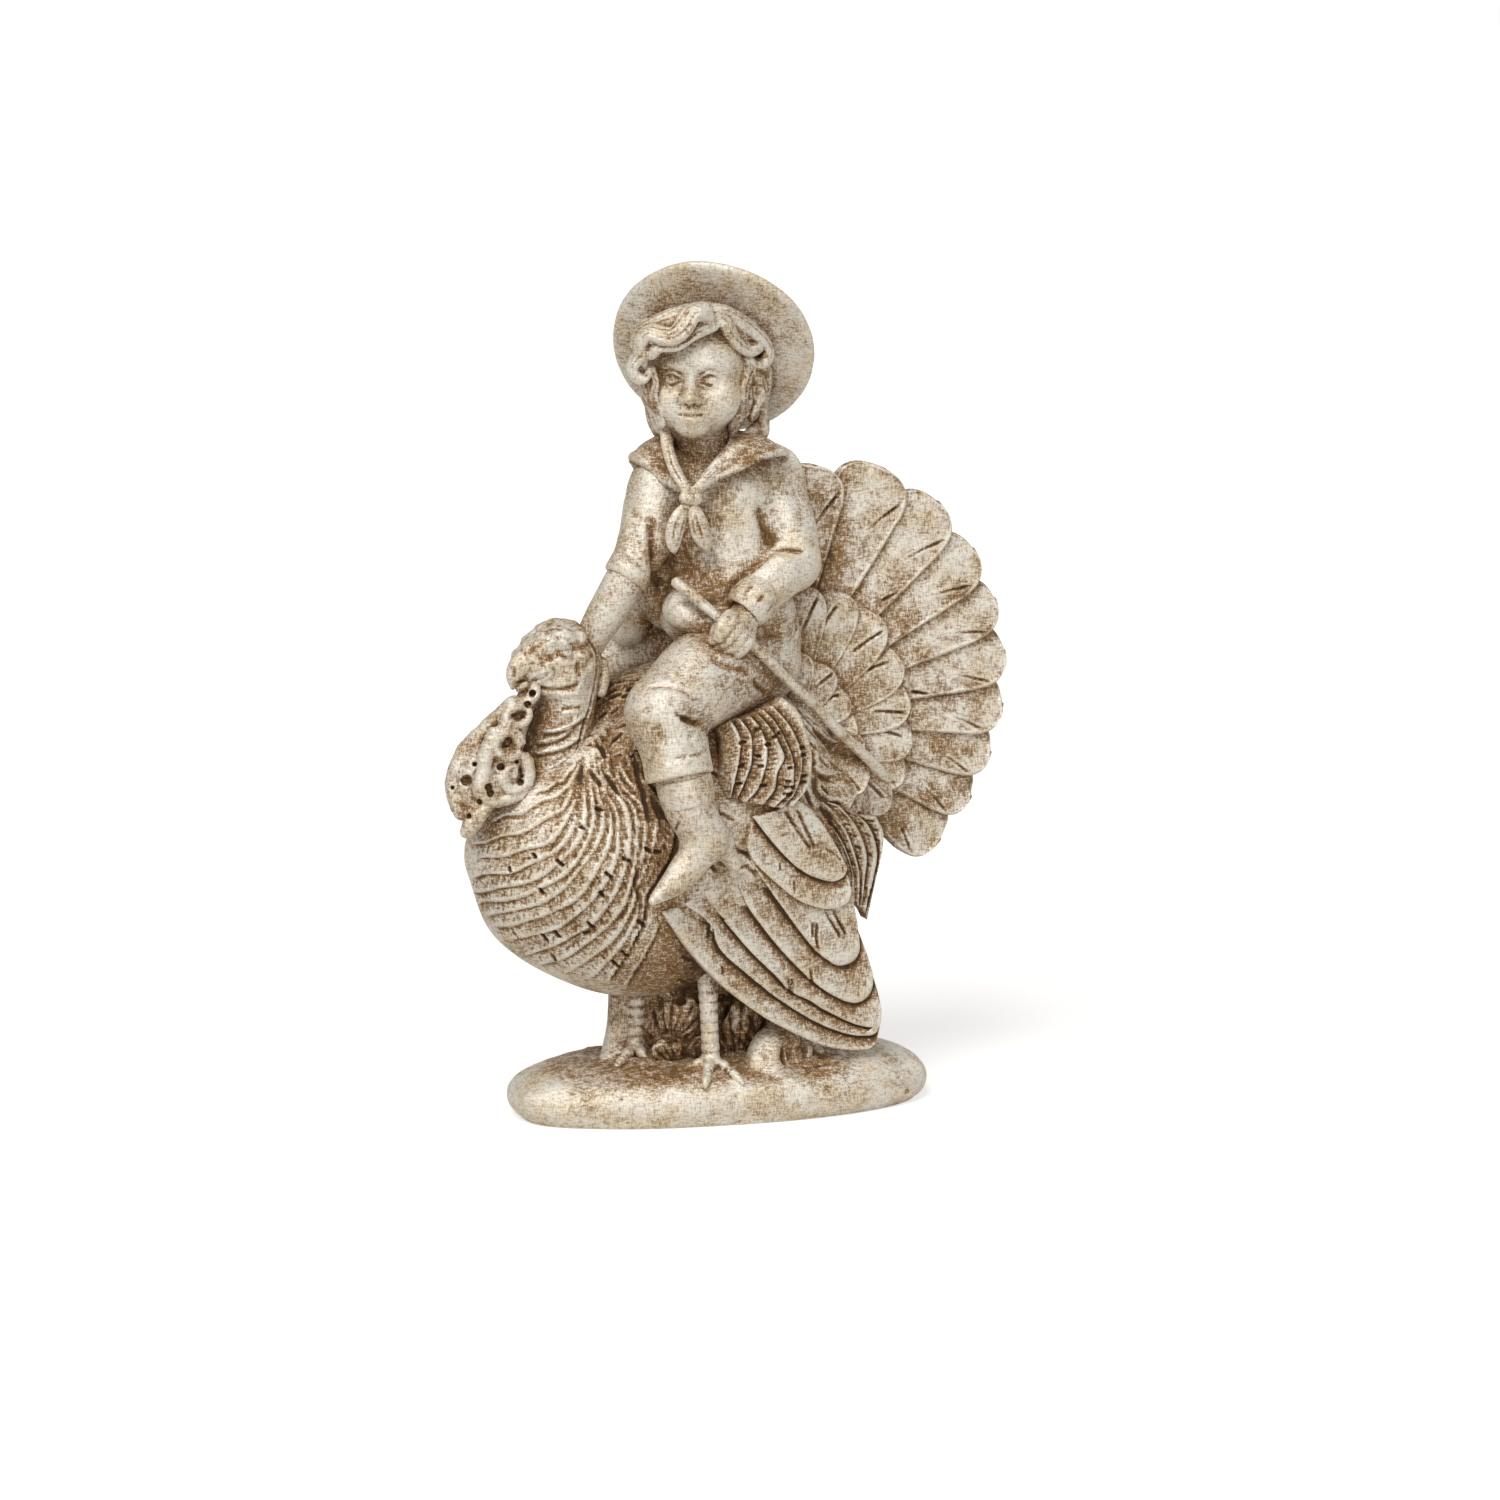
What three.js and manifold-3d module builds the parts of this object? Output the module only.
// A cast figurine: a child in a sailor blouse rides a strutting turkey on a pebble-shaped plinth.
// Millimetres, +Z up, the origin under the middle of the plinth, the turkey facing -X and the
// sculpted front facing -Y. Each sculpted form is a casting of its own, seated on its neighbours
// with a thin bonding gap.
import * as THREE from "three";
import { mergeVertices } from "three/addons/utils/BufferGeometryUtils.js";
import Module from "manifold-3d";

const wasm = await Module();
wasm.setup();

// Size of the casting, and of the master that the sculptor laid out in the sizes below. The casting is
// the master drawn to its height, length and depth.
const castHeight = 226;
const castLength = 155;
const castDepth = 64;
const masterHeight = 226;
const masterLength = 155;
const masterDepth = 64;
const bondGap = 0.3;
const rowGap = 0.6;

// Plinth: a long pebble with a flat underside.
const plinthLength = 117;
const plinthDepth = 58;
const plinthCrown = 15.5;
const plinthEdgeHeight = 6;
const plinthPlanPower = 2.9;

// Turkey trunk.
const trunkLength = 119;
const trunkHeight = 84;
const trunkDepth = 54;
const trunkLowestHeight = 31;
const breastOverhang = 69;
const plumeRidgeHeight = 1.5;
const plumeRidgeWidth = 5.5;

// Neck, head and beak.
const neckBaseRadius = 13;
const neckRadius = 8;
const crestRadius = 9.6;
const faceRadius = 7;
const beakRootRadius = 4.4;
const beakTipRadius = 0.9;
const browRadius = 2.6;
const snoodRadius = 2.3;
const wattleRadius = 5.2;
const wattleTipRadius = 3;

// Turkey legs.
const nearShankRadius = 3;
const farShankRadius = 3.2;
const drumstickRadius = 5.6;
const toeRadius = 1.7;
const toeLength = 11;
const clawRadius = 0.8;
const toeSpread = THREE.MathUtils.degToRad(38);
const nearFootTurn = THREE.MathUtils.degToRad(-5);
const farFootTurn = THREE.MathUtils.degToRad(-45);

// Undergrowth that carries the trunk behind the legs.
const stumpRadius = 13;
const stumpDepthRadius = 9;
const leafLength = 19;
const leafWidth = 11;
const leafThickness = 2.4;
const stoneRadius = 8.5;
const stoneHeight = 11;

// Tail fan, its rows of coverts and the fluff below it. Angles are in degrees above the horizontal.
const fanReach = 69.5;
const fanRise = 61;
const fanFrom = -54;
const fanTo = 86;
const fanFeatherThickness = 5;
const fanFeatherCount = 10;
const coverReach = 36;
const coverFrom = -44;
const coverTo = 84;
const coverFeatherThickness = 3.4;
const coverFeatherCount = 8;
const innerReach = 22.5;
const innerFrom = -55;
const innerTo = 70;
const innerFeatherThickness = 3.2;
const innerFeatherCount = 6;
const featherLap = 0.8;
const featherRib = 0.9;
const fanRootShare = 0.14;
const coverRootShare = 0.25;
const fanScallopShare = 0.075;
const coverScallopShare = 0.14;
const fluffThickness = 12;
const fluffFeatherCount = 3;

// Wings.
const shoulderPadWidth = 32;
const shoulderPadHeight = 31;
const shoulderPadDepth = 9;
const shoulderPadTerraces = 4;
const flightThickness = 6.2;
const flightCount = 5;
const flightLap = 1.5;
const flightScallopShare = 0.06;
const upperFlightThickness = 7.6;
const upperFlightCount = 2;

// Child: blouse, collar and neckerchief.
const riderYaw = THREE.MathUtils.degToRad(-24);
const blouseWidth = 33;
const blouseDepth = 26;
const blouseHeight = 62;
const throatRadius = 6.6;
const collarThickness = 2.2;
const collarWidth = 45;
const collarDepth = 28;
const collarDrop = 16;
const knotWidth = 4.4;
const knotHeight = 2.6;
const scarfTailLength = 15;
const scarfTailWidth = 6.8;
const scarfTailThickness = 3.2;

// Child: arms and hands.
const sleeveShoulderRadius = 9.6;
const sleeveElbowRadius = 8.2;
const sleeveHemRadius = 6.4;
const forearmRadius = 6.4;
const wristRadius = 4.3;
const cuffRadius = 5.4;
const cuffLength = 6.5;
const fistWidth = 11.5;
const fistDepth = 8;
const fistHeight = 10;
const fingerRadius = 1.5;

// Child: legs.
const thighHipRadius = 12.6;
const thighKneeRadius = 10.2;
const kneeRadius = 9;
const calfRadius = 7.1;
const stockingRadius = 5.7;
const stockingLength = 7.5;
const bootTopRadius = 6.2;
const bootAnkleRadius = 5;
const bootHeelRadius = 4.4;
const bootBallRadius = 4;
const bootToeRadius = 1.5;
const bootHeelWidth = 5;
const farLegLift = 3;

// Child: head, hair and hat.
const headWidth = 24.6;
const headDepth = 28;
const headHeight = 33;
const noseHeight = 2.4;
const lockRadius = 3.1;
const brimRadius = 26.6;
const brimThickness = 4.2;
const crownRadius = 16.5;
const crownHeight = 12.5;
const hatBandRelief = 0.8;
const hatPitch = THREE.MathUtils.degToRad(59.5);
const hatYaw = THREE.MathUtils.degToRad(-28.8);

// Riding stick.
const stickLength = 84;
const stickRadius = 1.6;

// Places of the modelled joints, as shares of the master's length, depth and height.
const placeShares = {
  neckBase: [-0.268, -0.03, 0.385],
  neckBend: [-0.272, -0.06, 0.455],
  neckTop: [-0.27, -0.063, 0.5],
  crest: [-0.291, -0.063, 0.549],
  face: [-0.332, -0.085, 0.541],
  beakRoot: [-0.358, -0.1, 0.529],
  beakTip: [-0.388, -0.125, 0.506],
  snoodRoot: [-0.345, -0.15, 0.514],
  snoodMiddle: [-0.362, -0.18, 0.475],
  wattleUpper: [-0.386, -0.19, 0.444],
  wattleLower: [-0.408, -0.19, 0.39],
  wattleOuter: [-0.452, -0.09, 0.4],
  wattleTip: [-0.456, -0.14, 0.35],
  nearHock: [-0.047, -0.19, 0.165],
  nearFoot: [-0.05, -0.235, 0.06],
  farHock: [-0.145, 0.07, 0.165],
  farFoot: [-0.152, 0.07, 0.072],
  stump: [-0.02, 0.06, 0.04],
  stumpTop: [-0.02, 0.05, 0.19],
  stone: [0.09, -0.19, 0.062],
  fanHub: [0.085, 0.031, 0.5],
  coverHub: [0.122, -0.03, 0.458],
  innerHub: [0.113, -0.06, 0.443],
  fluffUpperRoot: [0.3, 0.03, 0.38],
  fluffLowerRoot: [0.2, 0.03, 0.3],
  fluffUpperTip: [0.3, 0.03, 0.265],
  fluffLowerTip: [0.235, 0.03, 0.2],
  shoulderPad: [0.03, -0.33, 0.432],
  lowerWingUpperRoot: [-0.025, -0.28, 0.315],
  lowerWingUpperMiddle: [0.1, -0.24, 0.268],
  lowerWingUpperTip: [0.226, -0.22, 0.24],
  lowerWingLowerRoot: [-0.152, -0.28, 0.248],
  lowerWingLowerMiddle: [0.022, -0.22, 0.118],
  lowerWingLowerTip: [0.258, -0.14, 0.066],
  upperWingUpperRoot: [0.087, -0.28, 0.385],
  upperWingUpperMiddle: [0.14, -0.28, 0.345],
  upperWingUpperTip: [0.182, -0.265, 0.295],
  upperWingLowerRoot: [-0.007, -0.28, 0.344],
  upperWingLowerMiddle: [0.052, -0.27, 0.277],
  upperWingLowerTip: [0.176, -0.25, 0.235],
  seat: [0.022, -0.02, 0.515],
  throat: [-0.03, -0.05, 0.797],
  head: [-0.052, -0.1, 0.866],
  hat: [-0.008, 0, 0.893],
  knot: [-0.082, -0.26, 0.731],
  restingShoulder: [-0.117, 0, 0.74],
  restingElbow: [-0.166, -0.08, 0.66],
  restingWrist: [-0.203, -0.09, 0.606],
  restingHand: [-0.226, -0.05, 0.568],
  holdingShoulder: [0.088, -0.06, 0.74],
  holdingElbow: [0.128, -0.2, 0.637],
  holdingWrist: [0.032, -0.3, 0.613],
  holdingCuff: [0.012, -0.31, 0.606],
  fist: [-0.032, -0.335, 0.582],
  hip: [0.048, -0.1, 0.53],
  knee: [-0.162, -0.39, 0.49],
  shin: [-0.12, -0.46, 0.42],
  bootTop: [-0.112, -0.47, 0.386],
  ankle: [-0.088, -0.468, 0.352],
  heel: [-0.06, -0.455, 0.343],
  heelFoot: [-0.044, -0.445, 0.323],
  ball: [-0.128, -0.49, 0.31],
  toe: [-0.178, -0.51, 0.285],
};

// Stations along a form, as shares of its own sizes.
const plinthStationShares = [[0.9, 0], [0.965, 0.25], [1, 1], [0.985, 1.35]];
const plinthCrownShares = [[0.95, 0.42], [0.85, 0.66], [0.65, 0.84], [0.35, 0.97]];
const trunkStationShares = [
  [0.012, 0.4, 0.56, 0.2], [0.05, 0.25, 0.7, 0.52], [0.11, 0.155, 0.79, 0.76], [0.2, 0.075, 0.86, 0.93],
  [0.31, 0.015, 0.93, 1], [0.42, 0, 0.97, 1], [0.53, 0.015, 1, 0.96], [0.64, 0.05, 1, 0.87],
  [0.75, 0.12, 0.94, 0.71], [0.84, 0.21, 0.83, 0.53], [0.9, 0.31, 0.72, 0.34], [0.945, 0.41, 0.6, 0.14],
];
// Main rows of breast plumes: each ridge from the neck down, as shares along and up the trunk.
const plumeRidgeShares = [
  [[0.29, 0.68], [0.18, 0.58], [0.07, 0.48]],
  [[0.34, 0.68], [0.26, 0.46], [0.1, 0.28]],
  [[0.4, 0.66], [0.34, 0.38], [0.19, 0.15]],
  [[0.47, 0.62], [0.44, 0.34], [0.31, 0.08]],
  [[0.53, 0.5], [0.52, 0.3], [0.43, 0.07]],
];
// Sheet of feathers: way along, thickness, rounding of the tip; then side and lap of a vane's points.
const sheetStationShares = [[0, 1, 0], [0.55, 0.9, 0.2], [0.92, 0.6, 0.9], [1, 0.2, 1]];
const vanePointShares = [[-1, -0.6], [-0.4, 0.8], [0.35, 1], [0.96, 0.35]];
const leafStationShares = [[0, 0.2], [0.32, 0.9], [0.65, 0.92], [0.96, 0.2]];
const scarfStationShares = [[0, 0.35], [0.4, 0.95], [0.78, 0.85], [0.98, 0.2]];
// Blouse: height, half width, half depth, shift along and across.
const blouseStationShares = [
  [0, 0.86, 0.86, 0.12, 0.06], [0.12, 1, 1.05, 0.1, -0.08], [0.27, 1.04, 1.14, -0.06, -0.26],
  [0.38, 1.02, 1.08, -0.16, -0.24], [0.53, 0.95, 0.96, -0.24, -0.14], [0.72, 0.97, 0.92, -0.3, -0.1],
  [0.85, 1.04, 0.86, -0.33, -0.09], [0.92, 0.98, 0.72, -0.35, -0.07], [0.98, 0.6, 0.52, -0.36, -0.06],
];
// Collar, from the knot round the shoulder to the middle of the back: the place of the neckline and
// of the edge, across, forward and down, with the same again mirrored.
const collarStationShares = [
  [[0.03, 0.95, 0.95], [0.1, 0.98, 1.02]], [[0.2, 0.8, 0.55], [0.5, 0.84, 0.72]],
  [[0.28, 0.45, 0.16], [0.84, 0.5, 0.52]], [[0.3, 0.1, 0.02], [1, 0.12, 0.4]],
  [[0.28, -0.25, 0], [0.92, -0.45, 0.38]], [[0.2, -0.5, 0], [0.8, -0.86, 0.62]],
  [[0, -0.56, 0], [0, -0.98, 0.85]],
];

const spot = (name) => {
  const [along, across, up] = placeShares[name];
  return new THREE.Vector3(along * masterLength, across * masterDepth, up * masterHeight);
};

const X_AXIS = new THREE.Vector3(1, 0, 0);
const Y_AXIS = new THREE.Vector3(0, 1, 0);
const Z_AXIS = new THREE.Vector3(0, 0, 1);
const FRONT = new THREE.Vector3(0, -1, 0);
const BACK = new THREE.Vector3(0, 1, 0);
const lerp = THREE.MathUtils.lerp;
const polar = (angle) => new THREE.Vector3(Math.cos(angle), 0, Math.sin(angle));

// Solids

// Turns a closed geometry into a solid, facing out whichever way it was wound.
function solid(geometry) {
  const bare = new THREE.BufferGeometry();
  bare.setAttribute("position", geometry.getAttribute("position"));
  bare.setIndex(geometry.getIndex());
  const merged = mergeVertices(bare, 1e-4);
  const vertProperties = merged.getAttribute("position").array;
  const triVerts = new Uint32Array(merged.getIndex().array);
  const made = new wasm.Manifold(new wasm.Mesh({ numProp: 3, vertProperties, triVerts }));
  if (made.volume() > 0) return made;
  const turned = triVerts.map((v, i) => triVerts[i - (i % 3) + [0, 2, 1][i % 3]]);
  return new wasm.Manifold(new wasm.Mesh({ numProp: 3, vertProperties, triVerts: turned }));
}

// Skins a closed solid over rings that all hold the same number of points. Round ends close on
// their middle. The ends of a flat sheet close straight across, from its front to its back.
function skin(rings, { sheet = false } = {}) {
  const count = rings[0].length;
  const points = rings.flat();
  const faces = [];
  for (let i = 0; i + 1 < rings.length; i++) {
    for (let j = 0; j < count; j++) {
      const a = i * count + j;
      const b = i * count + ((j + 1) % count);
      faces.push(a, b, b + count, a, b + count, a + count);
    }
  }
  const end = (rings.length - 1) * count;
  if (sheet) {
    for (let j = 0; j + 1 < count / 2; j++) {
      const [a, b, c, d] = [j, j + 1, count - 2 - j, count - 1 - j];
      faces.push(a, c, b, a, d, c, end + a, end + b, end + c, end + a, end + c, end + d);
    }
  } else {
    const middle = (ring) => ring.reduce((sum, p) => sum.add(p), new THREE.Vector3()).divideScalar(count);
    const first = points.push(middle(rings[0])) - 1;
    const last = points.push(middle(rings.at(-1))) - 1;
    for (let j = 0; j < count; j++) {
      const k = (j + 1) % count;
      faces.push(first, k, j, last, end + j, end + k);
    }
  }
  const geometry = new THREE.BufferGeometry().setFromPoints(points);
  geometry.setIndex(faces);
  return solid(geometry);
}

const join = (...parts) => parts.flat().reduce((sum, part) => sum.add(part));

function extent(body) {
  const { vertProperties, numProp } = body.getMesh();
  return new THREE.Box3().setFromBufferAttribute(new THREE.BufferAttribute(vertProperties, numProp));
}

const CORNERS = 3;
const LEAST_FACING = 0.4;

// The solid with every face moved out by a distance, as the room its neighbour leaves for it.
function grown(body, distance) {
  const mesh = body.getMesh();
  const step = mesh.numProp;
  const corner = (v) => new THREE.Vector3().fromArray(mesh.vertProperties, v * step);
  const around = Array.from({ length: mesh.numVert }, () => []);
  for (let t = 0; t < mesh.triVerts.length; t += CORNERS) {
    const [a, b, c] = mesh.triVerts.subarray(t, t + CORNERS);
    const across = corner(b).sub(corner(a)).cross(corner(c).sub(corner(a)));
    [a, b, c].forEach((v) => around[v].push(across));
  }
  const moved = new Float32Array(mesh.numVert * CORNERS);
  for (let v = 0; v < mesh.numVert; v++) {
    const outward = around[v].reduce((sum, n) => sum.add(n), new THREE.Vector3()).normalize();
    const big = around[v].filter((n) => n.lengthSq() > 0).map((n) => n.clone().normalize().dot(outward));
    const facing = Math.max(LEAST_FACING, Math.min(...big, 1));
    corner(v).addScaledVector(outward, distance / facing).toArray(moved, v * CORNERS);
  }
  return new wasm.Manifold(new wasm.Mesh({ numProp: 3, vertProperties: moved, triVerts: mesh.triVerts }));
}

// A ring of points round a centre, in the plane of two half axes.
function ring(centre, wide, deep, sides, power = 2) {
  return Array.from({ length: sides }, (_, i) => {
    const turn = (2 * Math.PI * i) / sides;
    const round = (value) => Math.sign(value) * Math.abs(value) ** (2 / power);
    return centre
      .clone()
      .addScaledVector(wide, round(Math.cos(turn)))
      .addScaledVector(deep, round(Math.sin(turn)));
  });
}

// A limb along a smooth path: its radii are spread evenly, and its ends are domed.
function limb(path, radii, { sides = 9, flat = 1, steps = path.length > 2 ? 4 : 2, face = Y_AXIS } = {}) {
  const curve = path.length > 2 ? new THREE.CatmullRomCurve3(path) : new THREE.LineCurve3(...path);
  const radiusAt = (share) => {
    const place = share * (radii.length - 1);
    const index = Math.min(Math.floor(place), radii.length - 2);
    return lerp(radii[index], radii[index + 1], THREE.MathUtils.smoothstep(place - index, 0, 1));
  };
  const rings = [];
  const section = (share, shrink, ahead) => {
    const along = curve.getTangent(share);
    const across = face.clone().cross(along).normalize();
    const out = along.clone().cross(across).normalize();
    const radius = radiusAt(share) * shrink;
    const centre = curve.getPoint(share).addScaledVector(along, ahead * radiusAt(share));
    rings.push(ring(centre, across.multiplyScalar(radius), out.multiplyScalar(radius * flat), sides));
  };
  const domeShares = sides > 12 ? [0.45, 0.85] : [0.7];
  const lift = (share) => Math.sqrt(1 - share * share);
  domeShares.forEach((share) => section(0, share, -lift(share) * domeReachShare));
  for (let i = 0; i <= steps; i++) section(i / steps, 1, 0);
  domeShares.toReversed().forEach((share) => section(1, share, lift(share) * domeReachShare));
  return skin(rings);
}
const domeReachShare = 0.7;

const vaneCrownShare = 0.5;

// A feather, leaf or ribbon end: a blade with a raised midrib, its width following the stations.
function blade({ root, tip, bow = new THREE.Vector3(), width, thickness, face, rib, stations, twoSided }) {
  const middle = root.clone().lerp(tip, 0.5).add(bow);
  const curve = new THREE.QuadraticBezierCurve3(root, middle, tip);
  const rings = stations.map(([share, widthShare]) => {
    const centre = curve.getPoint(share);
    const along = curve.getTangent(share);
    const across = along.clone().cross(face).normalize().multiplyScalar((width / 2) * widthShare);
    const out = across.clone().cross(along).normalize();
    const half = (thickness / 2) * Math.sqrt(widthShare);
    const point = (side, height) => centre.clone().addScaledVector(across, side).addScaledVector(out, height);
    return [
      point(-1, 0), point(0, twoSided ? -half - rib : -half), point(1, 0),
      point(vaneCrownShare, half), point(0, half + rib), point(-vaneCrownShare, half),
    ];
  });
  return skin(rings);
}

// A sheet of overlapping feathers side by side: each one runs from the root line to the tip line,
// has a raised rib, a rounded tip, and one edge that lies over its neighbour's.
function vaneSheet({ count, rootAt, middleAt, tipAt, thickness, lap, face, scallop, twoSided }) {
  const rings = sheetStationShares.map(([share, thick, rounding]) => {
    const front = [];
    const back = [];
    for (let i = 0; i < count; i++) {
      for (const [side, lift] of vanePointShares) {
        const place = (i + (side + 1) / 2) / count;
        const chord = rootAt(place).lerp(tipAt(place), 0.5);
        const handle = middleAt ? middleAt(place).multiplyScalar(2).sub(chord) : chord;
        const curve = new THREE.QuadraticBezierCurve3(rootAt(place), handle, tipAt(place));
        const centre = curve.getPoint(share - scallop * rounding * Math.abs(side) ** 3);
        const height = thick * (thickness + lift * lap);
        front.push(centre.clone().addScaledVector(face, height));
        back.unshift(centre.clone().addScaledVector(face, twoSided ? -height : 0));
      }
    }
    return [...front, ...back];
  });
  return skin(rings, { sheet: true });
}

// The lines of a feather fan: rays from a hub, out to an elliptical edge.
function rays(hub, from, to, reach, rise, rootShare) {
  const at = (place, share) => {
    const angle = THREE.MathUtils.degToRad(lerp(to, from, place));
    const outer = 1 / Math.hypot(Math.cos(angle) / reach, Math.sin(angle) / rise);
    return hub.clone().addScaledVector(polar(angle), outer * share);
  };
  return { rootAt: (place) => at(place, rootShare), tipAt: (place) => at(place, 1) };
}

// Plinth and ground

function makePlinth() {
  const sides = 26;
  const level = (planShare, height) =>
    ring(
      new THREE.Vector3(0, 0, height),
      X_AXIS.clone().multiplyScalar((plinthLength / 2) * planShare),
      Y_AXIS.clone().multiplyScalar((plinthDepth / 2) * planShare),
      sides,
      plinthPlanPower,
    );
  const edge = plinthStationShares.map(([plan, height]) => level(plan, height * plinthEdgeHeight));
  const crown = plinthCrownShares.map(([plan, rise]) =>
    level(plan, lerp(plinthEdgeHeight, plinthCrown, rise)),
  );
  return skin([...edge, ...crown]);
}

function makeLeaf(root, lean, face) {
  const tip = root.clone().addScaledVector(lean.clone().normalize(), leafLength);
  return blade({
    root, tip, face, width: leafWidth, thickness: leafThickness,
    rib: featherRib, stations: leafStationShares, bow: face.clone().multiplyScalar(leafThickness),
  });
}

function makeUndergrowth() {
  const radii = [stumpRadius, stumpRadius * stumpWaistShare, stumpRadius];
  const stump = limb([spot("stump"), spot("stumpTop")], radii, {
    flat: stumpDepthRadius / stumpRadius,
    sides: 12,
  });
  const leaves = [];
  for (const face of [FRONT, BACK]) {
    for (const [side, up, lean] of leafPlaceShares) {
      const root = spot("stump")
        .addScaledVector(X_AXIS, side * stumpRadius)
        .addScaledVector(Z_AXIS, up * leafLength)
        .addScaledVector(face, stumpDepthRadius * leafSeatShare);
      leaves.push(makeLeaf(root, new THREE.Vector3(lean, 0, 1), face));
    }
  }
  return join(stump, leaves);
}
const stumpWaistShare = 0.9;
const leafSeatShare = 0.8;
const leafPlaceShares = [[-0.75, 0.3, -0.35], [0.1, 0.75, 0.2], [0.85, 0.2, 0.5]];

function makeStone() {
  const places = [[0, 0, 1], [0.55, 0.25, 0.8]];
  return join(
    places.map(([along, across, size]) => {
      const ball = new THREE.SphereGeometry(stoneRadius * size, 10, 6);
      ball.scale(1, 1 / 1.2, stoneHeight / stoneRadius);
      const centre = spot("stone");
      ball.translate(centre.x + along * stoneRadius, centre.y - across * stoneRadius, centre.z);
      return solid(ball);
    }),
  );
}

// Turkey

// Bottom, top and half depth of the trunk at a share of its length.
function trunkSection(share) {
  const found = trunkStationShares.findIndex(([along]) => along >= share);
  const index = Math.max(1, found < 0 ? trunkStationShares.length - 1 : found);
  const [low, high] = [trunkStationShares[index - 1], trunkStationShares[index]];
  const mix = (share - low[0]) / (high[0] - low[0]);
  const [, bottom, top, deep] = low.map((value, k) => lerp(value, high[k], mix));
  const centre = new THREE.Vector3(
    share * trunkLength - breastOverhang,
    0,
    trunkLowestHeight + (trunkHeight * (bottom + top)) / 2,
  );
  return { centre, tall: (trunkHeight * (top - bottom)) / 2, deep: (trunkDepth / 2) * deep };
}

// A plume ridge: a low roof laid on the trunk's side along one line, lower towards both of its ends.
function makePlumeRidge(line, side) {
  const surface = (along, up) => {
    const { centre, tall, deep } = trunkSection(along);
    const height = trunkLowestHeight + up * trunkHeight;
    const rise = THREE.MathUtils.clamp((height - centre.z) / tall, -ridgeReachShare, ridgeReachShare);
    const depth = deep * Math.sqrt(1 - rise * rise);
    const point = new THREE.Vector3(centre.x, side.y * depth, centre.z + rise * tall);
    const outward = new THREE.Vector3(0, (side.y * depth) / deep ** 2, (rise * tall) / tall ** 2).normalize();
    return { point, outward };
  };
  const flat = new THREE.CatmullRomCurve3(line.map(([along, up]) => new THREE.Vector3(along, up, 0)));
  const places = Array.from({ length: ridgeSteps + 1 }, (_, i) => flat.getPoint(i / ridgeSteps));
  const feet = places.map(({ x, y }) => surface(x, y));
  const rings = feet.map(({ point, outward }, i) => {
    const [before, after] = [feet[Math.max(i - 1, 0)], feet[Math.min(i + 1, ridgeSteps)]];
    const across = after.point.clone().sub(before.point).cross(outward).normalize();
    const swell = Math.sin(Math.PI * lerp(ridgeEndShare, 1 - ridgeEndShare, i / ridgeSteps));
    const at = (aside, height) => point.clone()
      .addScaledVector(across, aside * plumeRidgeWidth)
      .addScaledVector(outward, height * plumeRidgeHeight);
    return [at(0, -1), at(0.5, 0), at(ridgeCrestShare, swell), at(-0.5, 0)];
  });
  return skin(rings);
}
const ridgeSteps = 3;
const ridgeReachShare = 0.97;
const ridgeEndShare = 0.12;
const ridgeCrestShare = 0.25;

// The trunk: an egg lying breast first, with rows of plumage sweeping down it from the neck.
function makeTrunk() {
  const firstShare = trunkStationShares[0][0];
  const lastShare = trunkStationShares.at(-1)[0];
  const rings = Array.from({ length: trunkLevels }, (_, i) => {
    const ahead = (1 - Math.cos((Math.PI * i) / (trunkLevels - 1))) / 2;
    const { centre, tall, deep } = trunkSection(lerp(firstShare, lastShare, ahead));
    return ring(centre, Z_AXIS.clone().multiplyScalar(tall), Y_AXIS.clone().multiplyScalar(deep), trunkSides);
  });
  const ridges = [FRONT, BACK].flatMap((side) => plumeRidgeShares.map((line) => makePlumeRidge(line, side)));
  return join(skin(rings), ridges);
}
const trunkLevels = 15;
const trunkSides = 22;

function makeNeck() {
  const path = ["neckBase", "neckBend", "neckTop", "crest"].map(spot);
  const radii = [neckBaseRadius, neckRadius * neckFlareShare, neckRadius, crestRadius * crestShare];
  const neck = limb(path, radii, { sides: 12, steps: 6 });
  const crest = limb([spot("crest"), spot("face")], [crestRadius, faceRadius], { sides: 12 });
  const browPath = [
    spot("crest").addScaledVector(FRONT, crestRadius * browPlaceShare),
    spot("face").addScaledVector(FRONT, faceRadius * browPlaceShare),
  ];
  const brow = limb(browPath, [browRadius, browRadius], { sides: 6, steps: 1 });
  return join(neck, crest, brow);
}
const neckFlareShare = 1.25;
const crestShare = 0.94;
const browPlaceShare = 0.75;

function makeBeak() {
  const radii = [beakRootRadius, beakRootRadius, beakTipRadius];
  return limb([spot("face"), spot("beakRoot"), spot("beakTip")], radii, {
    sides: 8,
    steps: 4,
    flat: 0.85,
  });
}

// Snood over the beak, and the cluster of wattles it hangs into.
function makeWattles() {
  const snood = limb(["beakRoot", "snoodRoot", "snoodMiddle", "wattleUpper"].map(spot), [
    snoodRadius, snoodRadius, snoodRadius * 1.2, wattleRadius * 0.7,
  ], { sides: 6 });
  const lumps = wattleLumpShares.map(([down, along, across, size]) => {
    const ball = new THREE.SphereGeometry(wattleRadius * size, 7, 4);
    const centre = spot("wattleUpper").lerp(spot("wattleLower"), down);
    ball.translate(centre.x + along * wattleRadius, centre.y + across * wattleRadius, centre.z);
    return solid(ball);
  });
  const outer = limb([spot("wattleUpper"), spot("wattleOuter"), spot("wattleTip")],
    [wattleRadius * 0.7, wattleRadius * 0.85, wattleTipRadius], { sides: 8, steps: 5 });
  const drip = limb([spot("wattleLower"), spot("wattleTip")], [wattleRadius * 0.7, wattleTipRadius], {
    sides: 8,
    steps: 3,
  });
  return join(snood, lumps, outer, drip);
}
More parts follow.
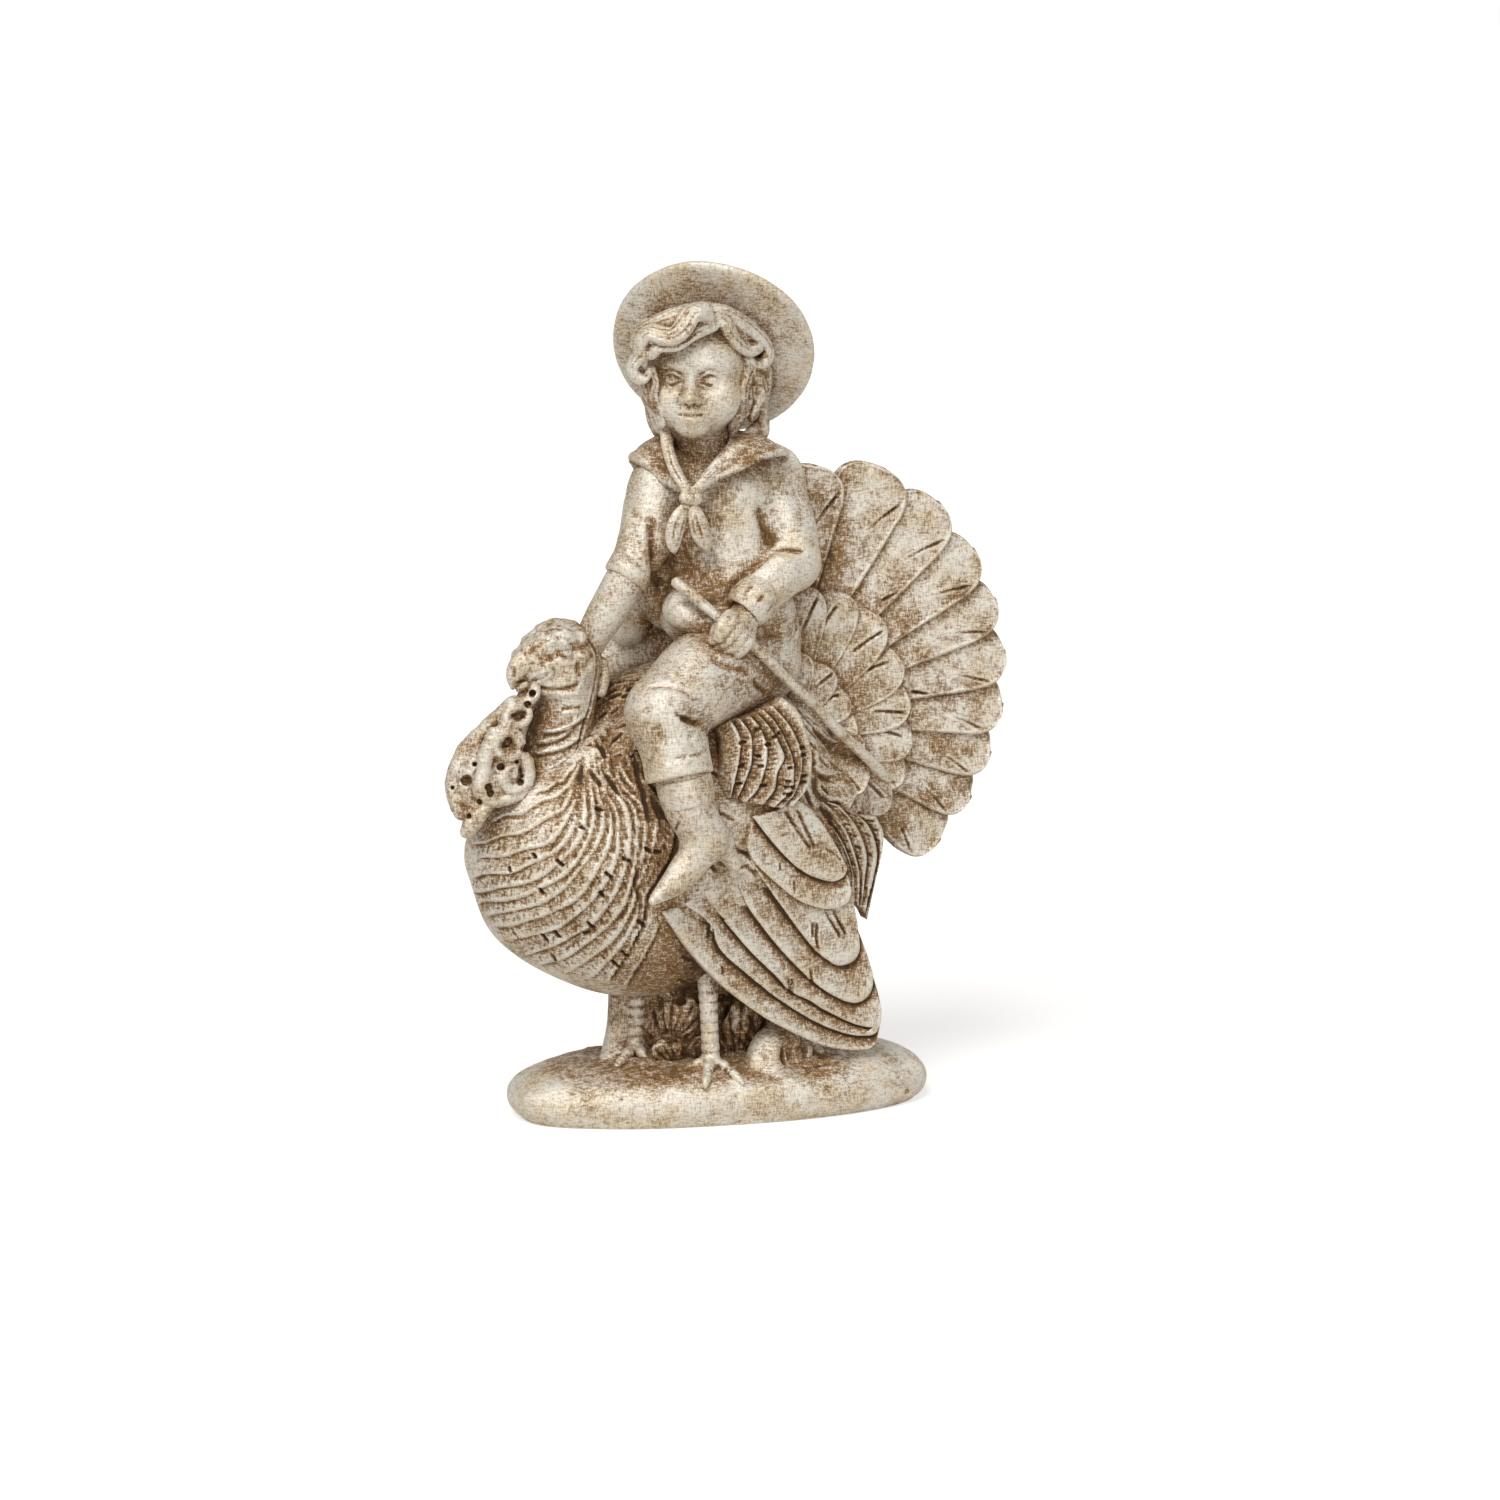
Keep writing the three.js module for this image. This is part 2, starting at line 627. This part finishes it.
const wattleLumpShares = [
  [0.1, 0.4, -0.1, 0.85], [0.55, 0.6, -0.1, 0.9], [0.6, -0.5, -0.2, 0.9], [1, 0.3, -0.1, 0.9],
];

function makeTurkeyLeg(hock, foot, shankRadius, forward) {
  const drumstick = spot(hock).addScaledVector(Z_AXIS, drumstickRadius);
  const shank = limb([drumstick, spot(hock), spot(foot)], [drumstickRadius, shankRadius, shankRadius], {
    sides: 7,
    steps: 5,
  });
  const toes = [-1, 0, 1].map((side) => {
    const heading = new THREE.Vector3(0, -1, 0).applyAxisAngle(Z_AXIS, forward + side * toeSpread);
    const knuckle = spot(foot).addScaledVector(heading, toeLength * 0.55);
    const claw = spot(foot).addScaledVector(heading, toeLength).addScaledVector(Z_AXIS, -toeRadius);
    const radii = [toeRadius, toeRadius, clawRadius];
    return limb([spot(foot), knuckle, claw], radii, { sides: 5, steps: 3, face: Z_AXIS });
  });
  const spur = limb(
    [spot(foot), spot(foot).addScaledVector(Y_AXIS, toeLength * 0.5)],
    [toeRadius, clawRadius],
    { sides: 5, steps: 1, face: Z_AXIS },
  );
  return join(shank, toes, spur);
}

function makeTailFan() {
  return vaneSheet({
    ...rays(spot("fanHub"), fanFrom, fanTo, fanReach, fanRise, fanRootShare),
    count: fanFeatherCount, thickness: fanFeatherThickness / 2, lap: featherLap,
    face: FRONT, scallop: fanScallopShare, twoSided: true,
  });
}

// A row of tail coverts, bonded flat on the row behind it.
function makeCovertRow(side, inner) {
  const fanFace = fanFeatherThickness / 2 + featherLap + rowGap;
  const rowFace = coverFeatherThickness + featherLap + rowGap;
  const hub = spot(inner ? "innerHub" : "coverHub").setY(spot("fanHub").y);
  hub.addScaledVector(side, inner ? fanFace + rowFace : fanFace);
  const [reach, count, thickness] = inner
    ? [innerReach, innerFeatherCount, innerFeatherThickness]
    : [coverReach, coverFeatherCount, coverFeatherThickness];
  return vaneSheet({
    ...rays(hub, inner ? innerFrom : coverFrom, inner ? innerTo : coverTo, reach, reach, coverRootShare),
    count, thickness, lap: featherLap, face: side, scallop: coverScallopShare,
  });
}

// The fluff that hangs below the tail.
function makeFluff() {
  return vaneSheet({
    rootAt: (place) => spot("fluffUpperRoot").lerp(spot("fluffLowerRoot"), place),
    tipAt: (place) => spot("fluffUpperTip").lerp(spot("fluffLowerTip"), place),
    count: fluffFeatherCount, thickness: fluffThickness / 2, lap: featherLap,
    face: FRONT, scallop: fanScallopShare, twoSided: true,
  });
}

const mirrored = (side) => (point) => (side === FRONT ? point : point.setY(-point.y));

// The small shoulder feathers: a low dome cut in terraces, one for each row.
function makeShoulderPad(side) {
  const profile = [new THREE.Vector2(0, -shoulderPadDepth / 2)];
  for (let i = 0; i < shoulderPadTerraces; i++) {
    const outer = 1 - i / (shoulderPadTerraces + 0.6);
    const inner = outer - 0.1;
    const height = (shoulderPadDepth * (i + 1)) / shoulderPadTerraces;
    const foot = i === 0 ? -shoulderPadDepth / 2 : (shoulderPadDepth * i * 0.8) / shoulderPadTerraces;
    profile.push(new THREE.Vector2(outer, foot));
    profile.push(new THREE.Vector2(inner, height));
  }
  profile.push(new THREE.Vector2(0, shoulderPadDepth));
  const dome = new THREE.LatheGeometry(profile, 16);
  dome.scale(shoulderPadWidth / 2, 1, shoulderPadHeight / 2);
  dome.rotateX(side === FRONT ? 0 : Math.PI);
  dome.scale(1, -1, 1);
  const centre = mirrored(side)(spot("shoulderPad"));
  dome.translate(centre.x, centre.y, centre.z);
  return solid(dome);
}

// Flight feathers in a stepped stack: each one lies over the next lower one.
function makeFeatherStack(side, group, count, thickness) {
  const place = (name) => mirrored(side)(spot(`${group}${name}`));
  return vaneSheet({
    rootAt: (share) => place("UpperRoot").lerp(place("LowerRoot"), share),
    middleAt: (share) => place("UpperMiddle").lerp(place("LowerMiddle"), share),
    tipAt: (share) => place("UpperTip").lerp(place("LowerTip"), share),
    count, thickness, lap: flightLap, face: side, scallop: flightScallopShare,
  });
}

// Child

const riderTurn = (point) => point.applyAxisAngle(Z_AXIS, riderYaw);

function makeBlouse() {
  const seat = spot("seat");
  const rings = blouseStationShares.map(([up, wide, deep, along, across]) => {
    const centre = seat.clone();
    centre.z += up * blouseHeight;
    centre.x += along * (blouseWidth / 2);
    centre.y += across * (blouseDepth / 2);
    const width = riderTurn(new THREE.Vector3((blouseWidth / 2) * wide, 0, 0));
    const depth = riderTurn(new THREE.Vector3(0, (blouseDepth / 2) * deep, 0));
    return ring(centre, width, depth, 16, 2.2);
  });
  return skin(rings);
}

// A prism over an outline in the plane that faces the rider's front, reaching from there to one side.
function outlinePrism(outline, centre, from, to) {
  const shape = new THREE.Shape(outline.map(([across, up]) => new THREE.Vector2(across, up)));
  const prism = new THREE.ExtrudeGeometry(shape, { depth: to - from, bevelEnabled: false });
  prism.translate(0, 0, from);
  prism.rotateX(Math.PI / 2);
  prism.rotateZ(riderYaw);
  prism.translate(centre.x, centre.y, centre.z);
  return solid(prism);
}

// The sailor collar: a band draped from the knot over the shoulders to the square flap behind.
function makeCollar() {
  const throat = spot("throat");
  const place = ([across, forward, down], mirror) =>
    riderTurn(
      new THREE.Vector3(
        (mirror * across * collarWidth) / 2,
        (-forward * collarDepth) / 2,
        -down * collarDrop,
      ),
    ).add(throat);
  const stations = [
    ...collarStationShares.map((pair) => [pair, -1]),
    ...collarStationShares.slice(0, -1).toReversed().map((pair) => [pair, 1]),
  ];
  const rings = stations.map(([[neckline, edge], mirror]) => {
    const near = place(neckline, mirror);
    const far = place(edge, mirror);
    const under = new THREE.Vector3(0, 0, -collarThickness);
    const middle = near.clone().lerp(far, 0.5);
    const crown = middle.clone().addScaledVector(Z_AXIS, collarThickness / 2);
    return [near, crown, far, far.clone().add(under), middle.add(under), near.clone().add(under)];
  });
  return skin(rings);
}

function makeScarf() {
  const knot = spot("knot");
  const face = riderTurn(FRONT.clone());
  const across = riderTurn(X_AXIS.clone());
  const ball = new THREE.SphereGeometry(knotWidth / 2, 9, 6);
  ball.scale(1, 0.9, knotHeight / knotWidth);
  ball.rotateZ(riderYaw);
  ball.translate(knot.x, knot.y, knot.z);
  const tails = scarfTailLeanShares.map((lean) => {
    const tip = knot.clone()
      .addScaledVector(Z_AXIS, -scarfTailLength)
      .addScaledVector(across, lean * scarfTailLength);
    const root = knot.clone().addScaledVector(Z_AXIS, -knotHeight * 0.2);
    return blade({
      root, tip, face, width: scarfTailWidth, thickness: scarfTailThickness, rib: featherRib,
      stations: scarfStationShares, bow: across.clone().multiplyScalar(lean * scarfTailWidth * 0.4),
    });
  });
  return join(solid(ball), tails);
}
const scarfTailLeanShares = [-0.34, 0.3];

function makeHoldingSleeve() {
  const [shoulder, elbow, wrist] = ["holdingShoulder", "holdingElbow", "holdingWrist"].map(spot);
  return limb(
    [shoulder, shoulder.clone().lerp(elbow, 0.7), elbow, elbow.clone().lerp(wrist, 0.3), wrist],
    [sleeveShoulderRadius, sleeveElbowRadius * 1.05, sleeveElbowRadius, sleeveHemRadius],
    { sides: 9, steps: 6 },
  );
}

function makeRestingSleeve() {
  const [shoulder, elbow] = ["restingShoulder", "restingElbow"].map(spot);
  const radii = [sleeveShoulderRadius, sleeveElbowRadius, sleeveHemRadius];
  return limb([shoulder, shoulder.clone().lerp(elbow, 0.5), elbow], radii);
}

function makeRestingForearm() {
  const path = ["restingElbow", "restingWrist", "restingHand"].map(spot);
  return limb(path, [forearmRadius, forearmRadius, wristRadius * 1.1]);
}

function makeCuff() {
  const heading = spot("fist").sub(spot("holdingWrist")).normalize();
  const start = spot("holdingCuff").addScaledVector(heading, -cuffLength / 2);
  const end = spot("holdingCuff").addScaledVector(heading, cuffLength / 2);
  return limb([start, end], [cuffRadius, cuffRadius * 1.1], { sides: 11, steps: 1, flat: 0.95 });
}

// The fist: a rounded palm with four fingers closed across the stick.
function makeFist() {
  const palm = limb([spot("holdingCuff"), spot("fist")], [wristRadius, fistHeight / 2], {
    sides: 8,
    flat: fistDepth / fistHeight,
  });
  const along = stickLine().direction;
  const fingers = [-1.5, -0.5, 0.5, 1.5].map((row) => {
    const centre = spot("fist")
      .addScaledVector(along, row * fingerRadius * 1.5)
      .addScaledVector(Y_AXIS, -fistDepth / 2);
    const reach = new THREE.Vector3(1, 0, 1).normalize().multiplyScalar(fistWidth / 2 - fingerRadius);
    const path = [centre.clone().sub(reach), centre.clone().add(reach)];
    return limb(path, [fingerRadius, fingerRadius], { sides: 5, steps: 1 });
  });
  return join(palm, fingers);
}

// The line of the stick: through the fist, its upper end on the belly and its lower end at the tail.
function stickLine() {
  const upper = spot("fist").add(stickOffset("upper"));
  const lower = spot("fist").add(stickOffset("lower"));
  const direction = lower.clone().sub(upper).normalize();
  return { upper, lower, direction };
}
const stickDirectionShares = [0.742, 0.15, -0.653];
const stickUpperShare = 0.215;
function stickOffset(end) {
  const reach = end === "upper" ? -stickLength * stickUpperShare : stickLength * (1 - stickUpperShare);
  return new THREE.Vector3(...stickDirectionShares).normalize().multiplyScalar(reach);
}

function makeStick() {
  const { upper, lower } = stickLine();
  return limb([upper, lower], [stickRadius, stickRadius], { sides: 10, steps: 1 });
}

// A joint of the rider's leg on one side: the far knee is held higher than the near one.
function legSpot(side, name) {
  return mirrored(side)(spot(name)).addScaledVector(Z_AXIS, side === BACK ? farLegLift : 0);
}

function makeThigh(side) {
  const [hip, knee] = [legSpot(side, "hip"), legSpot(side, "knee")];
  const radii = [thighHipRadius, lerp(thighHipRadius, thighKneeRadius, 0.5), thighKneeRadius];
  return limb([hip, hip.clone().lerp(knee, 0.5), knee], radii, { sides: 11, steps: 3 });
}

function makeCalf(side) {
  const [knee, shin] = [legSpot(side, "knee"), legSpot(side, "shin")];
  return limb([knee.lerp(shin, 0.25), shin], [kneeRadius, calfRadius]);
}

function makeStocking(side) {
  const [shin, bootTop] = [legSpot(side, "shin"), legSpot(side, "bootTop")];
  const start = bootTop.clone().addScaledVector(bootTop.clone().sub(shin).normalize(), -stockingLength);
  return limb([start, bootTop], [stockingRadius * stockingRollShare, stockingRadius], { steps: 1 });
}
const stockingRollShare = 1.12;

// A boot with a soft shaft, a pointed toe and a small stacked heel.
function makeBoot(side) {
  const [top, ankle, heel, heelFoot, ball, toe] = ["bootTop", "ankle", "heel", "heelFoot", "ball", "toe"].map(
    (name) => legSpot(side, name),
  );
  const shaft = limb([top, ankle, heel], [bootTopRadius, bootAnkleRadius, bootHeelRadius]);
  const footRadii = [bootHeelRadius, bootBallRadius, bootToeRadius];
  const foot = limb([heel, ball, toe], footRadii, { flat: bootFlatShare });
  const block = limb([heel, heelFoot], [bootHeelWidth / 2, bootHeelWidth / 2], { sides: 7, steps: 1 });
  return join(shaft, foot, block);
}
const bootFlatShare = 0.9;

// The head is an egg with soft features raised from it: brow, nose, lips, chin and cheeks.
const featureShares = [
  // across, up, spread across, spread up, height
  [0, 0.06, 0.09, 0.2, 0.55], [0, -0.1, 0.13, 0.09, 1],
  [0.34, -0.2, 0.26, 0.24, 0.35], [-0.34, -0.2, 0.26, 0.24, 0.35],
  [0.33, 0.07, 0.16, 0.09, -0.6], [-0.33, 0.07, 0.16, 0.09, -0.6],
  [0, -0.36, 0.2, 0.05, 0.45], [0, -0.46, 0.18, 0.05, 0.35],
  [0, -0.41, 0.2, 0.025, -0.3], [0, -0.68, 0.22, 0.13, 0.5],
  [0.32, 0.22, 0.22, 0.08, 0.3], [-0.32, 0.22, 0.22, 0.08, 0.3],
];
function makeHead() {
  const ball = new THREE.SphereGeometry(1, 20, 14);
  ball.rotateX(Math.PI / 2);
  const points = ball.getAttribute("position");
  const point = new THREE.Vector3();
  for (let i = 0; i < points.count; i++) {
    point.fromBufferAttribute(points, i);
    const jaw = 1 - 0.2 * THREE.MathUtils.smoothstep(-point.z, 0.2, 1);
    const front = Math.max(0, -point.y) ** 0.5;
    const relief = featureShares.reduce((sum, [across, up, spreadX, spreadZ, height]) => {
      const near = ((point.x - across) / spreadX) ** 2 + ((point.z - up) / spreadZ) ** 2;
      return sum + height * Math.exp(-near);
    }, 0);
    points.setXYZ(
      i,
      point.x * jaw * (headWidth / 2),
      point.y * jaw * (headDepth / 2) - relief * front * noseHeight,
      point.z * (headHeight / 2),
    );
  }
  ball.rotateZ(riderYaw);
  const centre = spot("head");
  ball.translate(centre.x, centre.y, centre.z);
  const throat = spot("throat");
  const neck = limb(
    [throat.clone().addScaledVector(Z_AXIS, -throatRadius), centre.clone().lerp(throat, 0.4)],
    [throatRadius * neckFootShare, throatRadius],
    { sides: 12 },
  );
  return join(solid(ball).intersect(facePrism(0)), neck);
}
const neckFootShare = 1.15;

// Locks of hair: waves swept from the parting down both sides of the face, over a close cap.
const lockShares = [
  // across and up at the root, the bend and the end, as shares of the half head, then thickness
  [[-0.1, 0.95], [-0.5, 0.72], [-0.9, 0.5], 1], [[0.2, 0.98], [0.55, 0.8], [0.92, 0.55], 1],
  [[-0.75, 0.62], [-1.02, 0.3], [-0.98, -0.05], 1], [[0.85, 0.6], [1.08, 0.3], [1.02, -0.05], 1.05],
  [[-0.95, 0.1], [-1.05, -0.2], [-0.92, -0.45], 0.8], [[0.98, 0.1], [1.14, -0.2], [1.02, -0.5], 0.95],
];
function makeHair() {
  const centre = spot("head");
  const cap = new THREE.SphereGeometry(1, 10, 6);
  cap.scale(
    headWidth / 2 + lockRadius * 0.6,
    headDepth / 2 + lockRadius * 0.3,
    headHeight / 2 + lockRadius * 0.2,
  );
  cap.rotateZ(riderYaw);
  const back = riderTurn(new THREE.Vector3(0, headDepth * 0.16, headHeight * 0.06)).add(centre);
  cap.translate(back.x, back.y, back.z);
  const locks = lockShares.map(([root, bend, end, size]) => {
    const path = [root, bend, end].map(([across, up], i) => {
      const aside = (across * across + up * up) * 0.75;
      const forward = Math.sqrt(Math.max(0.02, 1.05 - aside)) * [0.95, 1, 0.75][i];
      return riderTurn(
        new THREE.Vector3((across * headWidth) / 2, (-forward * headDepth) / 2, (up * headHeight) / 2),
      ).add(centre);
    });
    const radii = [0.8, 1, 0.7].map((taper) => taper * size * lockRadius);
    return limb(path, radii, { sides: 5, steps: 3 });
  });
  const pocket = facePrism(2 * bondGap);
  return join(solid(cap).subtract(pocket), locks);
}

// The part of the head that shows between the hair and the collar, as a prism toward the front.
const faceOutlineShares = [
  [-1.15, -0.45], [-1.15, -1.4], [1.15, -1.4], [1.15, -0.45], [0.88, -0.1],
  [0.84, 0.35], [0.4, 0.74], [-0.4, 0.74], [-0.84, 0.35], [-0.88, -0.1],
];
const faceBackShare = 0.3;
function facePrism(spare) {
  const outline = faceOutlineShares.map(([across, up]) => [
    across * (headWidth / 2 + spare),
    up * (headHeight / 2 + spare),
  ]);
  return outlinePrism(outline, spot("head"), -faceBackShare * headDepth - spare, headDepth);
}

// The hat: a rolled brim and a low crown, turned on one profile and worn far back on the head.
function makeHat() {
  const half = brimThickness / 2;
  const profile = [
    [0, 0], [crownRadius, 0], [brimRadius - half, -half * 0.5], [brimRadius, half * 0.3],
    [brimRadius - half * 0.6, half * 1.2], [crownRadius + half, brimThickness * 0.8],
    [crownRadius + hatBandRelief, brimThickness], [crownRadius + hatBandRelief, brimThickness * 1.8],
    [crownRadius, brimThickness * 1.9], [crownRadius * 0.93, crownHeight],
    [crownRadius * 0.75, crownHeight + half], [0, crownHeight + brimThickness * 0.7],
  ].map(([radius, height]) => new THREE.Vector2(radius, height));
  const body = new THREE.LatheGeometry(profile, 20);
  body.rotateX(Math.PI / 2);
  body.rotateX(-hatPitch);
  body.rotateZ(hatYaw);
  const centre = spot("hat");
  body.translate(centre.x, centre.y, centre.z);
  return solid(body);
}

// Assembly: from the inside out, each casting is trimmed where it seats on those before it.

const placed = new Map();
function place(name, body) {
  const reach = extent(body).expandByScalar(bondGap);
  const near = [...placed.values()].filter((neighbour) => neighbour.reach.intersectsBox(reach));
  const cleared = near.reduce((rest, neighbour) => rest.subtract(neighbour.room), body);
  const seated = near.reduce((rest, neighbour) => rest.subtract(neighbour.body), cleared);
  const largest = seated.decompose().reduce((a, b) => (a.volume() > b.volume() ? a : b));
  placed.set(name, { body: largest, room: grown(largest, bondGap), reach: extent(largest) });
  return largest;
}

place("plinth", makePlinth());
place("turkey_body", makeTrunk());
place("undergrowth", makeUndergrowth());
place("ground_stone", makeStone());
place("near_turkey_leg", makeTurkeyLeg("nearHock", "nearFoot", nearShankRadius, nearFootTurn));
place("far_turkey_leg", makeTurkeyLeg("farHock", "farFoot", farShankRadius, farFootTurn));
place("turkey_head", makeNeck());
place("turkey_beak", makeBeak());
place("turkey_wattles", makeWattles());
place("tail_fan", makeTailFan());
for (const [word, side] of [["front", FRONT], ["back", BACK]]) {
  place(`${word}_tail_coverts`, makeCovertRow(side, false));
  place(`${word}_inner_coverts`, makeCovertRow(side, true));
}
place("tail_fluff", makeFluff());
place("riding_stick", makeStick());
for (const [word, side] of [["near", FRONT], ["far", BACK]]) {
  place(`${word}_shoulder_feathers`, makeShoulderPad(side));
  place(`${word}_upper_wing`, makeFeatherStack(side, "upperWing", upperFlightCount, upperFlightThickness));
  place(`${word}_lower_wing`, makeFeatherStack(side, "lowerWing", flightCount, flightThickness));
}
place("blouse", makeBlouse());
for (const [word, side] of [["near", FRONT], ["far", BACK]]) {
  place(`${word}_thigh`, makeThigh(side));
  place(`${word}_calf`, makeCalf(side));
  place(`${word}_boot`, makeBoot(side));
  place(`${word}_stocking`, makeStocking(side));
}
place("rider_head", makeHead());
place("rider_hair", makeHair());
place("hat", makeHat());
place("sailor_collar", makeCollar());
place("neckerchief", makeScarf());
place("resting_sleeve", makeRestingSleeve());
place("resting_arm", makeRestingForearm());
place("holding_sleeve", makeHoldingSleeve());
place("sleeve_cuff", makeCuff());
place("holding_fist", makeFist());

// Finish: pale leaf where the form stands proud, with more of the brown wash held in plumage.
const leafColour = new THREE.Color(0xcfc6b3);
const washColour = new THREE.Color(0x94744f);
const plumageWashShare = 0.3;
const groundWashShare = 0.7;
const plainWashShare = 0.12;
const plumageWords = ["feathers", "wing", "coverts", "tail", "body", "hair"];
const groundWords = ["undergrowth", "stone"];
function finish(name) {
  const has = (words) => words.some((word) => name.includes(word));
  const wash = has(groundWords) ? groundWashShare : has(plumageWords) ? plumageWashShare : plainWashShare;
  return new THREE.MeshStandardMaterial({
    color: leafColour.clone().lerp(washColour, wash),
    roughness: lerp(0.42, 0.62, wash),
    metalness: lerp(0.75, 0.3, wash),
  });
}

const drawn = [castLength / masterLength, castDepth / masterDepth, castHeight / masterHeight];
const figurine = new THREE.Group();
for (const [name, { body }] of placed) {
  const mesh = body.scale(drawn).getMesh();
  const geometry = new THREE.BufferGeometry();
  geometry.setAttribute("position", new THREE.BufferAttribute(mesh.vertProperties, mesh.numProp));
  geometry.setIndex(new THREE.BufferAttribute(mesh.triVerts, 1));
  const piece = new THREE.Mesh(geometry, finish(name));
  piece.name = name;
  figurine.add(piece);
}

export default figurine;
